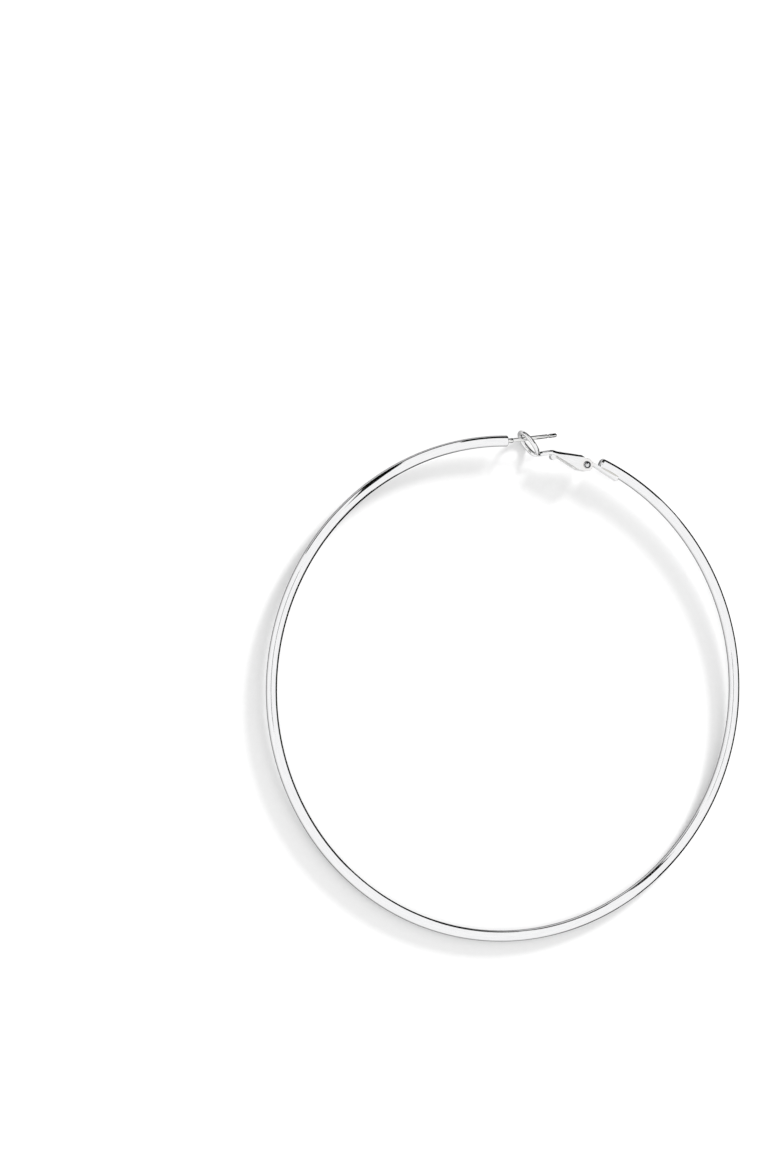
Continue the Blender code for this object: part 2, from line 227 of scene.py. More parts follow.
# %% Tool: sweep a section along a path
def swept(sides, squareness, stations):
    """A rounded section pulled along stations of (place, half width, half thickness).

    Pulling an open edge leaves one new open edge, which is pulled on to the next station.
    """
    bm = bmesh.new()
    ring = bmesh.ops.create_circle(bm, segments=sides, radius=1.0)["verts"]
    for vert in ring:
        for i in (0, 1):
            vert.co[i] = math.copysign(abs(vert.co[i]) ** squareness, vert.co[i])
    edges = bm.edges[:]
    first = edges
    before = Matrix()
    for place, wide, thick in stations:
        here = place @ Matrix.Diagonal((wide, thick, 1.0, 1.0))
        if place is not stations[0][0]:
            pulled = bmesh.ops.extrude_edge_only(bm, edges=edges)["geom"]
            edges = [item for item in pulled if isinstance(item, bmesh.types.BMEdge)
                     and all(len(vert.link_faces) < 3 for vert in item.verts)
                     and len(item.link_faces) == 1]
            ring = list({vert for edge in edges for vert in edge.verts})
        bmesh.ops.transform(bm, matrix=here @ before.inverted(), verts=ring)
        before = here
    for end in (first, edges):
        bmesh.ops.contextual_create(bm, geom=end)
    return bm


# %% [markdown]
# The hoop is a round wire, drawn through a die, bent round a drum and cut. Its front end is cut
# flat with a broken rim, and its back end is filed round. A circle spun round the hoop's axis is
# the natural way: 64 points round and 540 steps keep its reflections free of corners.

# %% The hoop's wire
WIRE_SIDES = 64
HOOP_STEPS = 540
ROUNDING_STEPS = 8
bm = bmesh.new()
section = bmesh.ops.create_circle(bm, segments=WIRE_SIDES, radius=WIRE_RADIUS)["verts"]
upright = Matrix.Translation((HOOP_RADIUS, 0, 0)) @ Matrix.Rotation(math.radians(90), 4, "X")
to_front = Matrix.Rotation(math.radians(90) + GAP_ANGLE / 2, 4, "Z")
bmesh.ops.transform(bm, matrix=to_front @ upright, verts=section)
front_rim = bm.edges[:]
round_the_hoop = bmesh.ops.spin(bm, geom=section + front_rim, cent=(0, 0, 0), axis=(0, 0, 1),
                                dvec=(0, 0, 0), angle=math.tau - GAP_ANGLE, steps=HOOP_STEPS)
back_rim = [item for item in round_the_hoop["geom_last"] if isinstance(item, bmesh.types.BMEdge)]
for rim, rounding in ((front_rim, FRONT_RIM), (back_rim, BACK_ROUNDING)):
    bmesh.ops.contextual_create(bm, geom=rim)
    bmesh.ops.bevel(bm, geom=rim, offset=rounding, segments=ROUNDING_STEPS, profile=0.5,
                    affect="EDGES", material=-1)
wire = finish_piece("hoop_wire", bm, HOOP_PLACE)
print("Wire:", len(wire.data.polygons), "faces")

# %% [markdown]
# The ear post is a thin steel pin with a thicker collar, set in a hole in the wire's flat end and
# soldered there. Near its tip runs a shallow notch, where a butterfly nut can click. It is a turned
# piece. The foot of its profile flares into a small bead of solder.

# %% The ear post
POST_ROOT = 1.0
SOLDER_FOOT = 0.66
COLLAR_RADIUS = 0.46
COLLAR_LENGTH = 1.2
COLLAR_EDGE = 0.02
NOTCH_FROM_TIP = 1.9
NOTCH_LENGTH = 0.36
NOTCH_DEPTH = 0.09
FLARE_STEPS = 6
TIP_STEPS = 10
POST_SIDES = 48
notch_start = POST_LENGTH - NOTCH_FROM_TIP - NOTCH_LENGTH / 2
notch_end = notch_start + NOTCH_LENGTH
notch_floor = POST_RADIUS - NOTCH_DEPTH
flare = SOLDER_FOOT - COLLAR_RADIUS
profile = [(0.0, -POST_ROOT), (SOLDER_FOOT, -POST_ROOT), (SOLDER_FOOT, 0.0)]
for step in range(1, FLARE_STEPS + 1):
    angle = math.radians(90) * step / FLARE_STEPS
    profile.append((SOLDER_FOOT - flare * math.sin(angle), flare * (1 - math.cos(angle))))
profile += [
    (COLLAR_RADIUS, COLLAR_LENGTH - 2 * COLLAR_EDGE),
    (COLLAR_RADIUS - COLLAR_EDGE, COLLAR_LENGTH),
    (POST_RADIUS, COLLAR_LENGTH + 3 * COLLAR_EDGE),
    (POST_RADIUS, notch_start - NOTCH_DEPTH),
    (notch_floor, notch_start),
    (notch_floor, notch_end),
    (POST_RADIUS, notch_end + NOTCH_DEPTH),
]
for step in range(TIP_STEPS + 1):
    angle = math.radians(90) * step / TIP_STEPS
    profile.append((POST_RADIUS * math.cos(angle),
                    POST_LENGTH - POST_RADIUS * (1 - math.sin(angle))))
along_post = POST_DIRECTION.to_track_quat("Z", "Y").to_matrix().to_4x4()
turned_post = spun(profile, POST_SIDES, Matrix.Translation(WIRE_END) @ along_post)
post = finish_piece("ear_post", turned_post, HOOP_PLACE, sharp=30)
print("Ear post:", round(POST_LENGTH, 2), "mm outside the wire")

# %% [markdown]
# The hinge lug is a strip of square bar under the wire's back end. Its own front end is a round
# knuckle with a bore for the rivet. The outline, knuckle and strip together, is cut as a slab, and
# its edges are rounded as tumbling leaves them. The bore is taken out with a Boolean.


# %% The hinge lug's outline
LUG_TOP_STEPS = 16
KNUCKLE_STEPS = 48


def lug_outline():
    """(outline, first angle and last angle of the lug's seat in the wire)."""
    lean = -(GAP_ANGLE / 2 + LUG_LEAN)
    ahead = turned(RIGHT, lean)
    upward = turned(Vector((0.0, 1.0, 0.0)), lean)
    cut = HINGE + LUG_LENGTH * ahead
    low_end = cut + LUG_OVER_HINGE * upward
    in_wire = HOOP_RADIUS - WIRE_RADIUS + LUG_IN_WIRE
    across = cut.dot(upward)
    up_to_wire = math.sqrt(across ** 2 - cut.length_squared + in_wire ** 2) - across
    high_end = cut + up_to_wire * upward
    last = math.atan2(high_end.x, high_end.y)
    first = GAP_ANGLE / 2 + BACK_ROUNDING / HOOP_RADIUS
    top = [on_circle(in_wire, last + (first - last) * step / LUG_TOP_STEPS)
           for step in range(LUG_TOP_STEPS + 1)]
    to_top = top[-1] - HINGE
    leaves = math.atan2(to_top.y, to_top.x) + math.acos(KNUCKLE_RADIUS / to_top.length)
    returns = lean + math.asin(LUG_OVER_HINGE / KNUCKLE_RADIUS) + math.tau
    arc = []
    for step in range(KNUCKLE_STEPS + 1):
        angle = leaves + (returns - leaves) * step / KNUCKLE_STEPS
        arc.append(HINGE + KNUCKLE_RADIUS * Vector((math.cos(angle), math.sin(angle), 0.0)))
    return [point.xy for point in [low_end] + top + arc], first, last


outline, lug_first, lug_last = lug_outline()
print("Lug's seat in the wire:", round(HOOP_RADIUS * (lug_last - lug_first), 2), "mm long")


# %% Tools: apply modifiers and bore a hole
BORE_SIDES = 64


def with_modifiers(obj):
    """The mesh as its modifiers leave it."""
    graph = bpy.context.evaluated_depsgraph_get()
    made = bpy.data.meshes.new_from_object(obj.evaluated_get(graph))
    obj.modifiers.clear()
    obj.data = made
    return made


def bored(obj, radius, length, place):
    """Takes a round bore along Z out of the piece."""
    ends = [(0.0, -length / 2), (radius, -length / 2), (radius, length / 2), (0.0, length / 2)]
    drill = finish_piece("drill", spun(ends, BORE_SIDES), place)
    cut = obj.modifiers.new("bore", "BOOLEAN")
    cut.operation = "DIFFERENCE"
    cut.object = drill
    with_modifiers(obj)
    bpy.data.objects.remove(drill)


BORE_RADIUS = RIVET_RADIUS + RUNNING_GAP
print("Bore:", round(2 * BORE_RADIUS, 2), "mm across")


# %% The hinge lug, bored for its rivet
LUG_EDGE = 0.09
LUG_EDGE_STEPS = 4
LUG_SHARP = 35


def level(edge):
    """True for an edge that lies flat in the hoop's plane."""
    return abs(edge.verts[0].co.z - edge.verts[1].co.z) < TOLERANCE


bm = slab(outline, LUG_WIDTH / 2)
rims = [edge for edge in bm.edges if level(edge)]
bmesh.ops.bevel(bm, geom=rims, offset=LUG_EDGE, segments=LUG_EDGE_STEPS, profile=0.5,
                affect="EDGES", material=-1, clamp_overlap=True)
lug = finish_piece("hinge_lug", bm, Matrix(), LUG_SHARP)
bored(lug, BORE_RADIUS, 4 * LUG_WIDTH, Matrix.Translation(HINGE))
lug.data.transform(HOOP_PLACE)
lug.data.shade_smooth()
lug.data.set_sharp_from_angle(angle=math.radians(LUG_SHARP))
print("Hinge lug:", len(lug.data.polygons), "faces")

# %% [markdown]
# Silver solder runs into the two corners between the lug and the round wire, and sets as a thin
# bead on each side. Each bead is a small round section swept along the hoop's own curve, thinner
# towards its ends.


# %% Two beads of solder
BEAD_STEPS = 24
BEAD_RADIUS = 0.17
BEAD_DROP = 0.03
BEAD_SHORTER = 0.004
BEAD_SIDES = 16


def solder_bead(name, side):
    """A bead along the corner on one side of the lug, thickest in its middle."""
    drop = math.sqrt(WIRE_RADIUS ** 2 - (LUG_WIDTH / 2) ** 2) + BEAD_DROP
    stations = []
    for step in range(BEAD_STEPS + 1):
        t = step / BEAD_STEPS
        angle = lug_first + (lug_last - BEAD_SHORTER - lug_first) * t
        middle = on_circle(HOOP_RADIUS - drop, angle) + Vector((0, 0, side * LUG_WIDTH / 2))
        ahead = turned(RIGHT, -angle)
        out = turned(Vector((0.0, 1.0, 0.0)), -angle)
        place = Matrix((ahead, out, Vector((0, 0, 1)))).transposed().to_4x4()
        place = Matrix.Translation(middle) @ place @ Matrix.Rotation(math.radians(90), 4, "Y")
        # A little of the sine's arch is left off at each end, so that the bead ends blunt.
        full = BEAD_RADIUS * math.sin(math.pi * (0.06 + 0.88 * t)) ** 0.5
        stations.append((place, full, full))
    return finish_piece(name, swept(BEAD_SIDES, 1.0, stations), HOOP_PLACE)


beads = [solder_bead("solder_bead_a", 1), solder_bead("solder_bead_b", -1)]
print("Solder beads:", len(beads))

# %% [markdown]
# The clip begins as one stamped and bent piece: a loop shaped like a keyhole, a short neck, and a
# channel folded into two ears. The post passes through the keyhole when the clip closes. Plating
# and tumbling round all its corners. The loop is a section swept along its path, the channel is a
# slab with its inside cut out, and the knob is turned. A voxel remesh then melts the three into
# one skin with soft inner corners, as on the real clip. Blender's remesh takes no cells under a
# tenth of a millimetre, so the clip is melted at a thousand times its size and shrunk afterwards.


# %% The loop's path
BEND_STEPS = 12


def side_line():
    """The loop's middle line from the side: down the ring, round the bend and up the neck."""
    ring_centre = Vector((-CLIP_REACH, 0.0))
    down = Vector((math.cos(RING_SLANT), -math.sin(RING_SLANT)))
    corner = ring_centre + (RING_LENGTH / 2 - RING_BAND / 2) * down
    neck_top = Vector((-CHANNEL_LENGTH, 0.0))
    neck_end = Vector((-CHANNEL_LENGTH + NECK_IN_CHANNEL, 0.0))
    points = [ring_centre - RING_LENGTH * down, ring_centre]
    for before, at, after in ((ring_centre, corner, neck_top), (corner, neck_top, neck_end)):
        enter = at + NECK_BEND * (before - at).normalized()
        leave = at + NECK_BEND * (after - at).normalized()
        for step in range(BEND_STEPS + 1):
            t = step / BEND_STEPS
            points.append((1 - t) ** 2 * enter + 2 * t * (1 - t) * at + t ** 2 * leave)
    return points + [neck_end]


def along(points, distance):
    """(point, direction) at a distance along the line, measured from its second point."""
    travelled = -(points[1] - points[0]).length
    for before, after in zip(points, points[1:]):
        length = (after - before).length
        if travelled + length >= distance or after is points[-1]:
            direction = (after - before).normalized()
            return before + (distance - travelled) * direction, direction
        travelled += length


line = side_line()
print("Side line:", len(line), "points")


# %% The loop seen flat
ROUND_STEPS = 40
JOINING_STEPS = 24
RAIL_STEPS = 30
LEAVING = math.radians(138)


def half_loop():
    """(distance along the side line, distance from the middle, half width) down one side."""
    length = RING_LENGTH / 2 - RING_BAND / 2
    width = RING_WIDTH / 2 - RING_BAND / 2
    rail_half = (EAR_OUTSIDE - SLOT_HALF) / 2
    rail_middle = (EAR_OUTSIDE + SLOT_HALF) / 2
    places = []
    for step in range(ROUND_STEPS + 1):
        angle = LEAVING * step / ROUND_STEPS
        places.append((-length * math.cos(angle), width * math.sin(angle), RING_BAND / 2))
    start = Vector((-length * math.cos(LEAVING), width * math.sin(LEAVING)))
    heading = Vector((length * math.sin(LEAVING), width * math.cos(LEAVING))).normalized()
    end = Vector((length + RING_BAND, rail_middle))
    reach = (end - start).length / 2.2
    controls = (start, start + reach * heading, end - Vector((reach, 0.0)), end)
    for step in range(1, JOINING_STEPS + 1):
        t = step / JOINING_STEPS
        weights = ((1 - t) ** 3, 3 * t * (1 - t) ** 2, 3 * t * t * (1 - t), t ** 3)
        point = sum((w * c for w, c in zip(weights, controls)), Vector((0.0, 0.0)))
        places.append((point.x, point.y, RING_BAND / 2 + (rail_half - RING_BAND / 2) * t))
    total = sum((b - a).length for a, b in zip(line[1:], line[2:]))
    for step in range(1, RAIL_STEPS + 1):
        places.append((end.x + (total - end.x) * step / RAIL_STEPS, rail_middle, rail_half))
    return places


one_side = half_loop()
print("Half loop:", len(one_side), "places")


# %% Sweep the loop
LOOP_SIDES = 32
SQUARENESS = 0.95
# Inside the channel's front the rails are made thinner, so they don't show on its surface.
IN_CHANNEL = 0.6
INSIDE_FROM = -CHANNEL_LENGTH + 0.05
path = [(s, -w, half) for s, w, half in reversed(one_side[1:])] + one_side
centres, fronts = [], []
for s, w, _ in path:
    point, direction = along(line, s)
    centres.append(Vector((point.x, point.y, w)))
    fronts.append(Vector((-direction.y, direction.x, 0.0)))
stations = []
for i, (_, _, half) in enumerate(path):
    ahead = (centres[min(i + 1, len(path) - 1)] - centres[max(i - 1, 0)]).normalized()
    across = ahead.cross(fronts[i]).normalized()
    out = across.cross(ahead).normalized()
    turn = Matrix((across, out, ahead)).transposed().to_4x4()
    share = IN_CHANNEL if centres[i].x > INSIDE_FROM else 1.0
    stations.append((Matrix.Translation(centres[i]) @ turn, share * half,
                     share * RING_THICKNESS / 2))
loop = finish_piece("loop", swept(LOOP_SIDES, SQUARENESS, stations), Matrix())
print("Loop:", len(stations), "stations")


# %% Outlines of the channel, outside and inside
EYE_STEPS = 48
EAR_START = -CHANNEL_LENGTH + NECK_BLOCK
WEB_FRONT = RING_THICKNESS / 2 + FRONT_RISE
WEB_SLOPE = (EAR_TOP - WEB_FRONT) / (-EAR_TOP_BACK - EAR_START)
# The inside is cut out to well behind the eye.
INSIDE_BACK = 2 * EYE_RADIUS


def channel_outline():
    half = RING_THICKNESS / 2
    front = -CHANNEL_LENGTH
    low_corner = Vector((-EAR_BOTTOM_BACK, -EAR_BOTTOM))
    last = math.atan2(low_corner.y, low_corner.x) + math.acos(EYE_RADIUS / low_corner.length)
    outline = [(front, -half), (front, half), (EAR_START, WEB_FRONT), (-EAR_TOP_BACK, EAR_TOP)]
    for step in range(EYE_STEPS + 1):
        angle = EYE_SHOULDER + (last - EYE_SHOULDER) * step / EYE_STEPS
        outline.append((EYE_RADIUS * math.cos(angle), EYE_RADIUS * math.sin(angle)))
    return outline + [tuple(low_corner), (EAR_START, FRONT_RISE / 2 - half)]


def under_web(x):
    """The height of the web's lower face."""
    return WEB_FRONT - SHEET + WEB_SLOPE * (x - EAR_START)


def channel_inside():
    return [(EAR_START, under_web(EAR_START)), (INSIDE_BACK, under_web(INSIDE_BACK)),
            (INSIDE_BACK, -2 * EAR_BOTTOM), (EAR_START, -2 * EAR_BOTTOM)]


print("The web rises", round(math.degrees(math.atan(WEB_SLOPE)), 1), "degrees towards the hinge")


# %% The channel, folded from sheet
FOLD_RADIUS = 0.6
FOLD_STEPS = 10
INNER_FOLD = 0.08
RIM_ROUNDING = 0.08
RIM_STEPS = 3
# A rim is an edge that turns by more than this many radians.
SHARP_RIM = 0.8
# An edge counts as upper from this height on, in the clip's own frame.
UPPER = 0.1


def folded(outline, half_width, radius, back):
    """A slab whose upper edges are rounded as far as x = back, as sheet is where it is folded.

    The other rims are broken afterwards, because a fold can't start from an edge already gone.
    """
    bm = slab(outline, half_width)
    folds = [edge for edge in bm.edges if level(edge)
             and all(vert.co.y > UPPER and vert.co.x < back + 0.01 for vert in edge.verts)]
    print("Folds:", len(folds))
    bmesh.ops.bevel(bm, geom=folds, offset=radius, segments=FOLD_STEPS, profile=0.5,
                    affect="EDGES", material=-1, clamp_overlap=False)
    rims = [edge for edge in bm.edges if edge.calc_face_angle(0.0) > SHARP_RIM
            and all(abs(abs(vert.co.z) - half_width) < TOLERANCE for vert in edge.verts)]
    bmesh.ops.bevel(bm, geom=rims, offset=RIM_ROUNDING, segments=RIM_STEPS, profile=0.5,
                    affect="EDGES", material=-1, clamp_overlap=True)
    return bm


outer = folded(channel_outline(), EAR_OUTSIDE, FOLD_RADIUS, -EAR_TOP_BACK)
channel = finish_piece("omega_clip", outer, Matrix())
inner = folded(channel_inside(), EAR_INSIDE, INNER_FOLD, INSIDE_BACK)
inside = finish_piece("inside", inner, Matrix())
cut = channel.modifiers.new("inside", "BOOLEAN")
cut.operation = "DIFFERENCE"
cut.object = inside
with_modifiers(channel)
bpy.data.objects.remove(inside)
bored(channel, BORE_RADIUS, 4 * EAR_OUTSIDE, Matrix())
print("Channel:", round(CHANNEL_LENGTH, 2), "mm from its front to the hinge")

# %% Melt the loop, the channel and the knob into one clip
CELL = 0.05
KNOB_SIDES = 48
knob_ends = [(0.0, -KNOB_WIDTH / 2), (KNOB_RADIUS, -KNOB_WIDTH / 2),
             (KNOB_RADIUS, KNOB_WIDTH / 2), (0.0, KNOB_WIDTH / 2)]
knob = finish_piece("knob", spun(knob_ends, KNOB_SIDES),
                    Matrix.Translation((-CHANNEL_LENGTH + KNOB_BACK, -KNOB_DROP, 0)))
bm = bmesh.new()
for piece in (channel, loop, knob):
    bm.from_mesh(piece.data)
bm.to_mesh(channel.data)
bm.free()
for piece in (loop, knob):
    bpy.data.objects.remove(piece)
melt = channel.modifiers.new("melt", "REMESH")
melt.mode = "VOXEL"
melt.voxel_size = CELL
even = channel.modifiers.new("even", "SMOOTH")
even.factor = 0.5
even.iterations = 6
with_modifiers(channel)
clip = channel
print("Clip:", len(clip.data.polygons), "faces")

# %% The faces inside the channel
NEAR = 0.05
matt_faces = []
for face in clip.data.polygons:
    x, y, z = face.center
    if abs(z) < EAR_INSIDE + 0.04 and x > EAR_START - NEAR and y < under_web(x) + NEAR:
        matt_faces.append(face.index)
print("Faces inside the channel:", len(matt_faces))
clip.data.transform(CLIP_PLACE)
clip.data.shade_smooth()

# %% [markdown]
# The rivet is a short pin through both ears and the lug's knuckle, with a domed head hammered on
# each side. The hammer leaves a thin rim and a groove round the dome, painted dark as shade.
# It is a turned piece too.

# %% The hinge rivet
GROOVE_INSIDE = 0.52
GROOVE_OUTSIDE = 0.7
HEAD_RIM = 0.13
HEAD_EDGE = 0.03
DOME_STEPS = 12
RIVET_SIDES = 48
seat = EAR_OUTSIDE + RUNNING_GAP
groove_floor = seat + HEAD_EDGE
upper = [
    (RIVET_RADIUS, seat),
    (RIVET_HEAD - HEAD_EDGE, seat),
    (RIVET_HEAD, seat + HEAD_EDGE),
    (RIVET_HEAD, seat + HEAD_RIM - HEAD_EDGE),
    (RIVET_HEAD - HEAD_EDGE, seat + HEAD_RIM),
    (GROOVE_OUTSIDE + 0.01, seat + HEAD_RIM),
    (GROOVE_OUTSIDE - 0.01, groove_floor),
    (GROOVE_INSIDE, groove_floor),
]
for step in range(1, DOME_STEPS + 1):
    angle = math.radians(90) * step / DOME_STEPS
    upper.append((GROOVE_INSIDE * math.cos(angle),
                  groove_floor + (RIVET_DOME - HEAD_EDGE) * math.sin(angle)))
lower = [(radius, -height) for radius, height in reversed(upper)]
rivet = finish_piece("hinge_rivet_pin", spun(lower + upper, RIVET_SIDES), CLIP_PLACE, sharp=50)
to_clip = CLIP_PLACE.inverted()
# The faces in the groove get a dark grey, which is painted shade.
painted_shade_faces = []
for face in rivet.data.polygons:
    centre = to_clip @ face.center
    in_groove = GROOVE_INSIDE - 0.02 < centre.xy.length < GROOVE_OUTSIDE + 0.02
    if in_groove and 0.02 < abs(centre.z) - seat < 0.12:
        painted_shade_faces.append(face.index)
print("Grooves:", len(painted_shade_faces), "faces")
print("Rivet:", round(2 * (seat + RIVET_DOME), 2), "mm over its heads")


# %% [markdown]
# All metals here share one shader with different settings. Colours are given as sRGB hex values,
# as in any paint program, and one function turns them to the linear values that Blender mixes.

# %% Colours and nodes
def linear(hex_colour):
    values = [int(hex_colour[i:i + 2], 16) / 255 for i in (1, 3, 5)]
    return [v / 12.92 if v <= 0.04045 else ((v + 0.055) / 1.055) ** 2.4 for v in values] + [1.0]


def add(tree, kind, settings=None, inputs=None):
    """Adds a node, sets its properties and its inputs. An input that is a socket is linked."""
    node = tree.nodes.new(kind)
    for key, value in (settings or {}).items():
        setattr(node, key, value)
    for key, value in (inputs or {}).items():
        if isinstance(value, bpy.types.NodeSocket):
            tree.links.new(value, node.inputs[key])
        else:
            node.inputs[key].default_value = value
    return node


def new_material(name):
    material = bpy.data.materials.new(name)
    material.use_nodes = True
    material.node_tree.nodes.clear()
    return material, material.node_tree


print("Hex #808080 is", round(linear("#808080")[0], 3), "in linear light")


# %% [markdown]
# The hoop's finish is rhodium plating over polished brass: a mirror with a cool, even grey. Drawing
# leaves faint lines along the wire, which the polish softens but never removes. To make the lines
# follow the hoop, the pattern reads the distance from the hoop's centre and the height, and only
# slowly the angle round it. The lines are 0.25 mm apart, coarser than real ones so that they show.

# %% Polished wire
BUMP_HEIGHT = 0.00002


def round_the_centre(tree, per_turn):
    """(distance from the hoop's centre, height, angle) of a point, in mm and in steps per turn."""
    here = add(tree, "ShaderNodeTexCoord").outputs["Object"]
    centred = add(tree, "ShaderNodeVectorMath", {"operation": "SUBTRACT"},
                  {0: here, 1: HOOP_PLACE.translation}).outputs["Vector"]
    flat = add(tree, "ShaderNodeVectorMath", {"operation": "MULTIPLY"}, {0: centred, 1: (1, 1, 0)})
    out = add(tree, "ShaderNodeVectorMath", {"operation": "LENGTH"}, {0: flat.outputs["Vector"]})
    parts = add(tree, "ShaderNodeSeparateXYZ", None, {0: centred})
    angle = add(tree, "ShaderNodeMath", {"operation": "ARCTAN2"},
                {0: parts.outputs["Y"], 1: parts.outputs["X"]})
    out_mm = add(tree, "ShaderNodeMath", {"operation": "MULTIPLY"},
                 {0: out.outputs["Value"], 1: MM_PER_METRE})
    up_mm = add(tree, "ShaderNodeMath", {"operation": "MULTIPLY"},
                {0: parts.outputs["Z"], 1: MM_PER_METRE})
    steps = add(tree, "ShaderNodeMath", {"operation": "MULTIPLY"},
                {0: angle.outputs[0], 1: per_turn / math.tau})
    return add(tree, "ShaderNodeCombineXYZ", None,
               {0: out_mm.outputs[0], 1: up_mm.outputs[0], 2: steps.outputs[0]}).outputs[0]


def polished_wire():
    material, tree = new_material("rhodium_plated_polished_brass")
    lines = add(tree, "ShaderNodeTexNoise", None,
                {"Vector": round_the_centre(tree, 30), "Scale": 4.0, "Detail": 3.0,
                 "Roughness": 0.6})
    bump = add(tree, "ShaderNodeBump", None,
               {"Height": lines.outputs["Fac"], "Strength": 0.12, "Distance": BUMP_HEIGHT})
    rough = add(tree, "ShaderNodeMapRange", None,
                {"Value": lines.outputs["Fac"], "To Min": 0.05, "To Max": 0.11})
    tone = add(tree, "ShaderNodeMix", {"data_type": "RGBA"},
               {0: lines.outputs["Fac"], 6: linear("#E4E4E6"), 7: linear("#F4F4F4")})
    shader = add(tree, "ShaderNodeBsdfPrincipled", None,
                 {"Base Color": tone.outputs[2], "Metallic": 1.0, "Roughness": rough.outputs[0],
                  "Normal": bump.outputs[0], "Specular Tint": linear("#101010")})
    add(tree, "ShaderNodeOutputMaterial", None, {"Surface": shader.outputs[0]})
    return material


wire_finish = polished_wire()
print("Wire's finish:", wire_finish.name)


# %% [markdown]
# The post is bare steel, finely turned. The rivet is plated and hammered. Solder is duller and
# slightly warm. The inside of the channel was never polished, so it is matt and pale. The rivet's
# groove is painted dark grey as shade. These are one recipe: a noise of a real size moves the
# tone, the roughness and the surface a little.


# %% Turned, hammered and soldered metal
def grained_metal(name, dark, light, rough, grain_mm, depth, edge, metallic=1.0):
    """Tones from dark to light, roughness between two values, and the tint seen at a flat angle."""
    material, tree = new_material(name)
    here = add(tree, "ShaderNodeTexCoord").outputs["Object"]
    grain = add(tree, "ShaderNodeTexNoise", None,
                {"Vector": here, "Scale": MM_PER_METRE / grain_mm, "Detail": 4.0,
                 "Roughness": 0.6})
    cloud = add(tree, "ShaderNodeTexNoise", None,
                {"Vector": here, "Scale": MM_PER_METRE / (8 * grain_mm), "Detail": 2.0})
    bump = add(tree, "ShaderNodeBump", None,
               {"Height": grain.outputs["Fac"], "Strength": depth, "Distance": BUMP_HEIGHT})
    roughness = add(tree, "ShaderNodeMapRange", None,
                    {"Value": cloud.outputs["Fac"], "From Min": 0.3, "From Max": 0.7,
                     "To Min": rough[0], "To Max": rough[1]})
    tone = add(tree, "ShaderNodeMix", {"data_type": "RGBA"},
               {0: cloud.outputs["Fac"], 6: linear(dark), 7: linear(light)})
    shader = add(tree, "ShaderNodeBsdfPrincipled", None,
                 {"Base Color": tone.outputs[2], "Metallic": metallic,
                  "Roughness": roughness.outputs[0], "Normal": bump.outputs[0],
                  "Specular Tint": linear(edge)})
    add(tree, "ShaderNodeOutputMaterial", None, {"Surface": shader.outputs[0]})
    return material


post_finish = grained_metal("turned_surgical_steel", "#D8D8D7", "#EAEAE9", (0.06, 0.12),
                            0.2, 0.06, "#101010")
rivet_finish = grained_metal("hammered_plated_rivet", "#C8C8C9", "#E6E6E6", (0.12, 0.2),
                             0.25, 0.15, "#505050")
# The dark grey in the rivet's groove is painted shade.
painted_groove_shade = grained_metal("painted_shade_in_groove", "#3A3A3B", "#58585A", (0.4, 0.5),
                              0.2, 0.2, "#404040", 0.6)
matt_finish = grained_metal("unpolished_plating", "#E2E2E1", "#EEEEED", (0.5, 0.65),
                            0.2, 0.3, "#F0F0F0", 0.15)
solder_finish = grained_metal("silver_solder", "#C6C4BE", "#DAD8D3", (0.2, 0.32),
                              0.25, 0.2, "#606060")
for finish in (post_finish, rivet_finish, painted_groove_shade, matt_finish, solder_finish):
    print("Finish:", finish.name)

# %% [markdown]
# The clip and the lug are plated like the wire, but they were brushed before plating and only
# tumbled after it. Brushing leaves fine lines along the channel, so the pattern is turned into the
# clip's own direction and stretched along it. The lines are 0.2 mm apart, coarser than real ones
# so that they show. Round the hinge the plating wears thin, and the brass warms its grey a little.


# %% Brushed plating of the clip and the lug
LINES_PER_MM = (0.5, 5.0, 5.0)
# The wear round the hinge starts at the first distance and is full at the second, in mm.
WEAR_FROM = 2.4
WEAR_FULL = 0.8


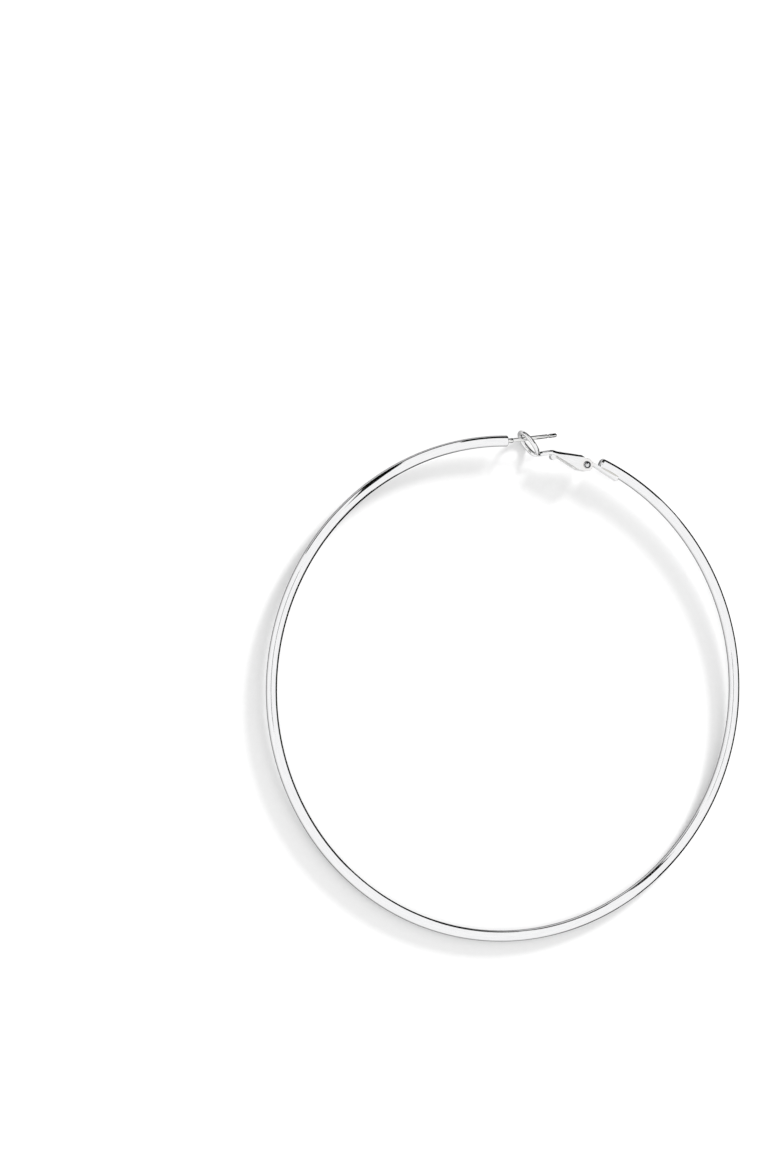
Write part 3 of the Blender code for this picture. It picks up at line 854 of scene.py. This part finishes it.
def brushed_clip():
    material, tree = new_material("brushed_plated_brass")
    here = add(tree, "ShaderNodeTexCoord").outputs["Object"]
    from_hinge = add(tree, "ShaderNodeVectorMath", {"operation": "SUBTRACT"},
                     {0: here, 1: CLIP_PLACE.translation}).outputs["Vector"]
    clip_turn = CLIP_PLACE.to_euler().z
    own = add(tree, "ShaderNodeMapping", None,
              {"Vector": from_hinge, "Rotation": (0.0, 0.0, -clip_turn),
               "Scale": [MM_PER_METRE] * 3}).outputs["Vector"]
    stretched = add(tree, "ShaderNodeVectorMath", {"operation": "MULTIPLY"},
                    {0: own, 1: LINES_PER_MM}).outputs["Vector"]
    lines = add(tree, "ShaderNodeTexNoise", None,
                {"Vector": stretched, "Scale": 1.0, "Detail": 4.0, "Roughness": 0.65})
    cloud = add(tree, "ShaderNodeTexNoise", None, {"Vector": own, "Scale": 0.6, "Detail": 2.0})
    bump = add(tree, "ShaderNodeBump", None,
               {"Height": lines.outputs["Fac"], "Strength": 0.08, "Distance": 0.00003})
    rough = add(tree, "ShaderNodeMapRange", None,
                {"Value": cloud.outputs["Fac"], "From Min": 0.3, "From Max": 0.7, "To Min": 0.06,
                 "To Max": 0.12})
    tone = add(tree, "ShaderNodeMix", {"data_type": "RGBA"},
               {0: lines.outputs["Fac"], 6: linear("#DCDCDD"), 7: linear("#F8F8F8")})
    distance = add(tree, "ShaderNodeVectorMath", {"operation": "LENGTH"}, {0: own})
    wear = add(tree, "ShaderNodeMapRange", {"interpolation_type": "SMOOTHSTEP"},
               {"Value": distance.outputs["Value"], "From Min": WEAR_FROM,
                "From Max": WEAR_FULL, "To Min": 0.0, "To Max": 0.5}).outputs[0]
    worn = add(tree, "ShaderNodeMix", {"data_type": "RGBA"},
               {0: wear, 6: tone.outputs[2], 7: linear("#E0D9D4")})
    shader = add(tree, "ShaderNodeBsdfPrincipled", None,
                 {"Base Color": worn.outputs[2], "Metallic": 1.0, "Roughness": rough.outputs[0],
                  "Normal": bump.outputs[0], "Specular Tint": linear("#F0F0F0")})
    add(tree, "ShaderNodeOutputMaterial", None, {"Surface": shader.outputs[0]})
    return material


clip_finish = brushed_clip()
print("Clip's finish:", clip_finish.name)

# %% Put each finish on its piece, and each piece on its body
dressed = [
    (wire, wire_finish, "hoop", "hoop", "plated_wire"),
    (post, post_finish, "hoop", "hoop", "plated_wire"),
    (lug, clip_finish, "hoop", "hoop", "plated_wire"),
    (beads[0], solder_finish, "hoop", "hoop", "plated_wire"),
    (beads[1], solder_finish, "hoop", "hoop", "plated_wire"),
    (clip, clip_finish, "clip", "omega_clip", "plated_clip"),
    (rivet, rivet_finish, "clip", "hinge_rivet", "rivet_metal"),
]
clip.name = "omega_clip_skin"
for piece, finish, body, node, slot in dressed:
    piece.data.materials.clear()
    piece.data.materials.append(finish)
    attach(piece, body)
    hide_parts(node)
    print(piece.name, "rides on", body, "and stands for", node)
# The channel's inside gets the matt finish, and the rivet's groove gets the dark grey of painted
# shade.
for piece, finish, faces in ((clip, matt_finish, matt_faces), (rivet, painted_groove_shade, painted_shade_faces)):
    piece.data.materials.append(finish)
    for index in faces:
        piece.data.polygons[index].material_index = 1
    print(piece.name, "has", len(faces), "faces in", finish.name)

# %% [markdown]
# The camera looks down from the left at 71 degrees, through a long lens, as in the photograph. It
# was fitted to the outline of the hoop and the places of the clasp, so its place and turn are plain
# numbers. The frame is 780 by 1170 pixels and upright, so the lens fits its height.

# %% Camera
FOCAL_PIXELS = 3465
FRAME_PIXELS = 1170
SENSOR_MM = 36
camera = bpy.data.objects.new("camera", bpy.data.cameras.new("camera"))
camera.location = (-0.24777, -0.04519, 0.65627)
camera.rotation_euler = [math.radians(a) for a in (1.321, -19.091, 11.269)]
camera.data.sensor_fit = "VERTICAL"
camera.data.sensor_height = SENSOR_MM
camera.data.lens = FOCAL_PIXELS * SENSOR_MM / FRAME_PIXELS
camera.data.clip_start = 0.01
scene = bpy.context.scene
scene.collection.objects.link(camera)
scene.camera = camera
print("Lens:", round(camera.data.lens, 1), "mm")

# %% [markdown]
# Polished metal shows its surroundings and little else, so a photographer stands it in a white
# tent. Here the tent is a white world. Below the horizon it fades, and on the side that the hoop's
# right arc mirrors it is black, which gives that arc its thin dark line. The floor is a matt white
# board. It is left out of reflections, so that the metal mirrors the tent alone.

# %% White tent
TENT = 1.07
DARK_SIDE = Vector((0.956, 0.292, 0.0)).normalized()
world = bpy.data.worlds.new("white_tent")
world.use_nodes = True
scene.world = world
tree = world.node_tree
tree.nodes.clear()
way = add(tree, "ShaderNodeTexCoord").outputs["Generated"]
rise = add(tree, "ShaderNodeSeparateXYZ", None, {0: way}).outputs["Z"]
side = add(tree, "ShaderNodeVectorMath", {"operation": "DOT_PRODUCT"}, {0: way, 1: DARK_SIDE})
side = add(tree, "ShaderNodeMapRange", {"interpolation_type": "SMOOTHSTEP"},
           {"Value": side.outputs["Value"], "From Min": 0.33, "From Max": 0.6}).outputs[0]
shut = add(tree, "ShaderNodeMapRange", None,
           {"Value": rise, "From Min": -0.16, "From Max": -0.22}).outputs[0]
fade = add(tree, "ShaderNodeMapRange", None,
           {"Value": rise, "From Min": -0.2, "From Max": -0.9, "To Max": 0.55}).outputs[0]
dark = add(tree, "ShaderNodeMix", {"data_type": "FLOAT"}, {0: side, 2: fade, 3: shut}).outputs[0]
glow = add(tree, "ShaderNodeMath", {"operation": "SUBTRACT"}, {0: 1.0, 1: dark}).outputs[0]
glow = add(tree, "ShaderNodeMath", {"operation": "MULTIPLY"}, {0: glow, 1: TENT}).outputs[0]
tent = add(tree, "ShaderNodeBackground", None, {"Color": (1.0, 1.0, 1.0, 1.0), "Strength": glow})
add(tree, "ShaderNodeOutputWorld", None, {"Surface": tent.outputs[0]})
print("Tent strength:", TENT)

# %% Floor
FLOOR_RADIUS = 4.0
bm = bmesh.new()
bmesh.ops.create_circle(bm, cap_ends=True, segments=128, radius=FLOOR_RADIUS)
floor = finish_piece("floor", bm, Matrix())
floor_finish, tree = new_material("matt_white_board")
here = add(tree, "ShaderNodeTexCoord").outputs["Object"]
fibre = add(tree, "ShaderNodeTexNoise", None, {"Vector": here, "Scale": 900.0, "Detail": 2.0})
shade = add(tree, "ShaderNodeMix", {"data_type": "RGBA"},
            {0: fibre.outputs["Fac"], 6: linear("#E9E9E9"), 7: linear("#EDEDED")})
board = add(tree, "ShaderNodeBsdfPrincipled", None,
            {"Base Color": shade.outputs[2], "Roughness": 0.9, "Specular IOR Level": 0.1})
add(tree, "ShaderNodeOutputMaterial", None, {"Surface": board.outputs[0]})
floor.data.materials.append(floor_finish)
floor.visible_glossy = False
print("Floor:", FLOOR_RADIUS * 2, "m across")

# %% [markdown]
# A white tent alone makes metal look flat and milky. So the photographer adds black cards: each
# draws a dark line along the wire, and the lines make it look round. A card here is a patch of a
# sphere round a point. It can be seen only in reflections, so a small one may stand close to the
# piece that it shades. The post is too thin for that, and gets two upright strips beside it.


# %% Tools for the cards
CARD_RISE_STEPS = 8
CARD_TURN_STEPS = 48


def as_card(made, grey):
    """Gives the mesh one even glow, and hides it from all but reflections."""
    finish, tree = new_material(made.name + "_finish")
    glow = add(tree, "ShaderNodeEmission", None, {"Color": (grey, grey, grey, 1.0)})
    add(tree, "ShaderNodeOutputMaterial", None, {"Surface": glow.outputs[0]})
    made.data.materials.append(finish)
    for kind in ("camera", "diffuse", "shadow", "transmission", "volume_scatter"):
        setattr(made, "visible_" + kind, False)
    return made


def card(name, azimuths, elevations, distance, grey, centre=(0.0, 0.0, 0.0)):
    """A patch of a sphere round the centre: degrees from +X towards +Y and upwards, and metres."""
    bm = bmesh.new()
    low, high = (math.radians(a) for a in elevations)
    points = []
    for step in range(CARD_RISE_STEPS + 1):
        angle = low + (high - low) * step / CARD_RISE_STEPS
        points.append(bm.verts.new((distance * math.cos(angle), 0.0, distance * math.sin(angle))))
    lines = [bm.edges.new(pair) for pair in zip(points, points[1:])]
    first, last = (math.radians(a) for a in azimuths)
    bmesh.ops.rotate(bm, verts=points, cent=(0, 0, 0), matrix=Matrix.Rotation(first, 3, "Z"))
    bmesh.ops.spin(bm, geom=points + lines, cent=(0, 0, 0), axis=(0, 0, 1), dvec=(0, 0, 0),
                   angle=last - first, steps=CARD_TURN_STEPS)
    return as_card(finish_piece(name, bm, Matrix.Translation(centre)), grey)


def strip(name, beside, lengths, heights, grey):
    """An upright strip along the post, in mm: how far beside, from and to, low and high."""
    across = turned(POST_DIRECTION, math.radians(90))
    bm = bmesh.new()
    ends = [WIRE_END + length * POST_DIRECTION + beside * across + Vector((0, 0, heights[0]))
            for length in lengths]
    line = bm.edges.new([bm.verts.new(end) for end in ends])
    pulled = bmesh.ops.extrude_edge_only(bm, edges=[line])["geom"]
    raised = [item for item in pulled if isinstance(item, bmesh.types.BMVert)]
    bmesh.ops.translate(bm, vec=(0, 0, heights[1] - heights[0]), verts=raised)
    return as_card(finish_piece(name, bm, HOOP_PLACE), grey)


# %% Where the cards stand
channel_middle = CLIP_PLACE @ Vector((-CHANNEL_LENGTH / 2, 0.5, 0.0))
neck_middle = CLIP_PLACE @ Vector((-CHANNEL_LENGTH - 0.5, 0.4, 0.0))
post_middle = HOOP_PLACE @ (WIRE_END + POST_LENGTH / 2 * POST_DIRECTION)
along_lug = turned(RIGHT, -(GAP_ANGLE / 2 + LUG_LEAN))
lug_middle = HOOP_PLACE @ (HINGE + LUG_LENGTH / 2 * along_lug)
cards = [
    card("low_card", (-30, 150), (-18, 2), 0.7, 0.0),
    card("right_card", (-25, 40), (-15, 15), 0.7, 0.0),
    card("corner_card", (33, 72), (-15, 17), 0.06, 0.0, lug_middle),
    card("end_card", (66, 108), (-5, 28), 0.06, 0.0, post_middle),
    card("high_card", (114, 128), (-10, 50), 0.24, 0.0),
    card("lens_card", (150, 210), (54, 63), 0.5, 0.2),
    card("channel_card", (50, 88), (-6, 42), 0.03, 0.0, channel_middle),
    card("neck_card", (36, 84), (0, 66), 0.02, 0.0, neck_middle),
    card("lug_card", (-130, -10), (-88, -40), 0.01, 0.95, lug_middle),
    strip("post_strip_above", 2.2, (6.0, 12.5), (-1.6, 0.2), 0.0),
    strip("post_strip_below", -1.5, (6.8, 13.0), (-1.3, 1.0), 0.0),
]
print("Cards:", len(cards))

# %% [markdown]
# One low soft light from the upper right throws the pale shadow. It is a wide disk, so the
# shadow's edge is soft. It is left out of reflections, where it would burn a spot into the metal.

# %% The light
LIGHT_DISTANCE = 1.5
light = bpy.data.objects.new("soft_light", bpy.data.lights.new("soft_light", "AREA"))
light.data.shape = "DISK"
light.data.size = 0.38
light.data.energy = 24.5
toward = Vector((0.47, 0.883, 0.38)).normalized()
light.location = LIGHT_DISTANCE * toward
light.rotation_euler = toward.to_track_quat("Z", "Y").to_euler()
light.visible_camera = False
light.visible_glossy = False
scene.collection.objects.link(light)
scene.view_settings.view_transform = "Standard"
print("Light at", [round(c, 2) for c in light.location])
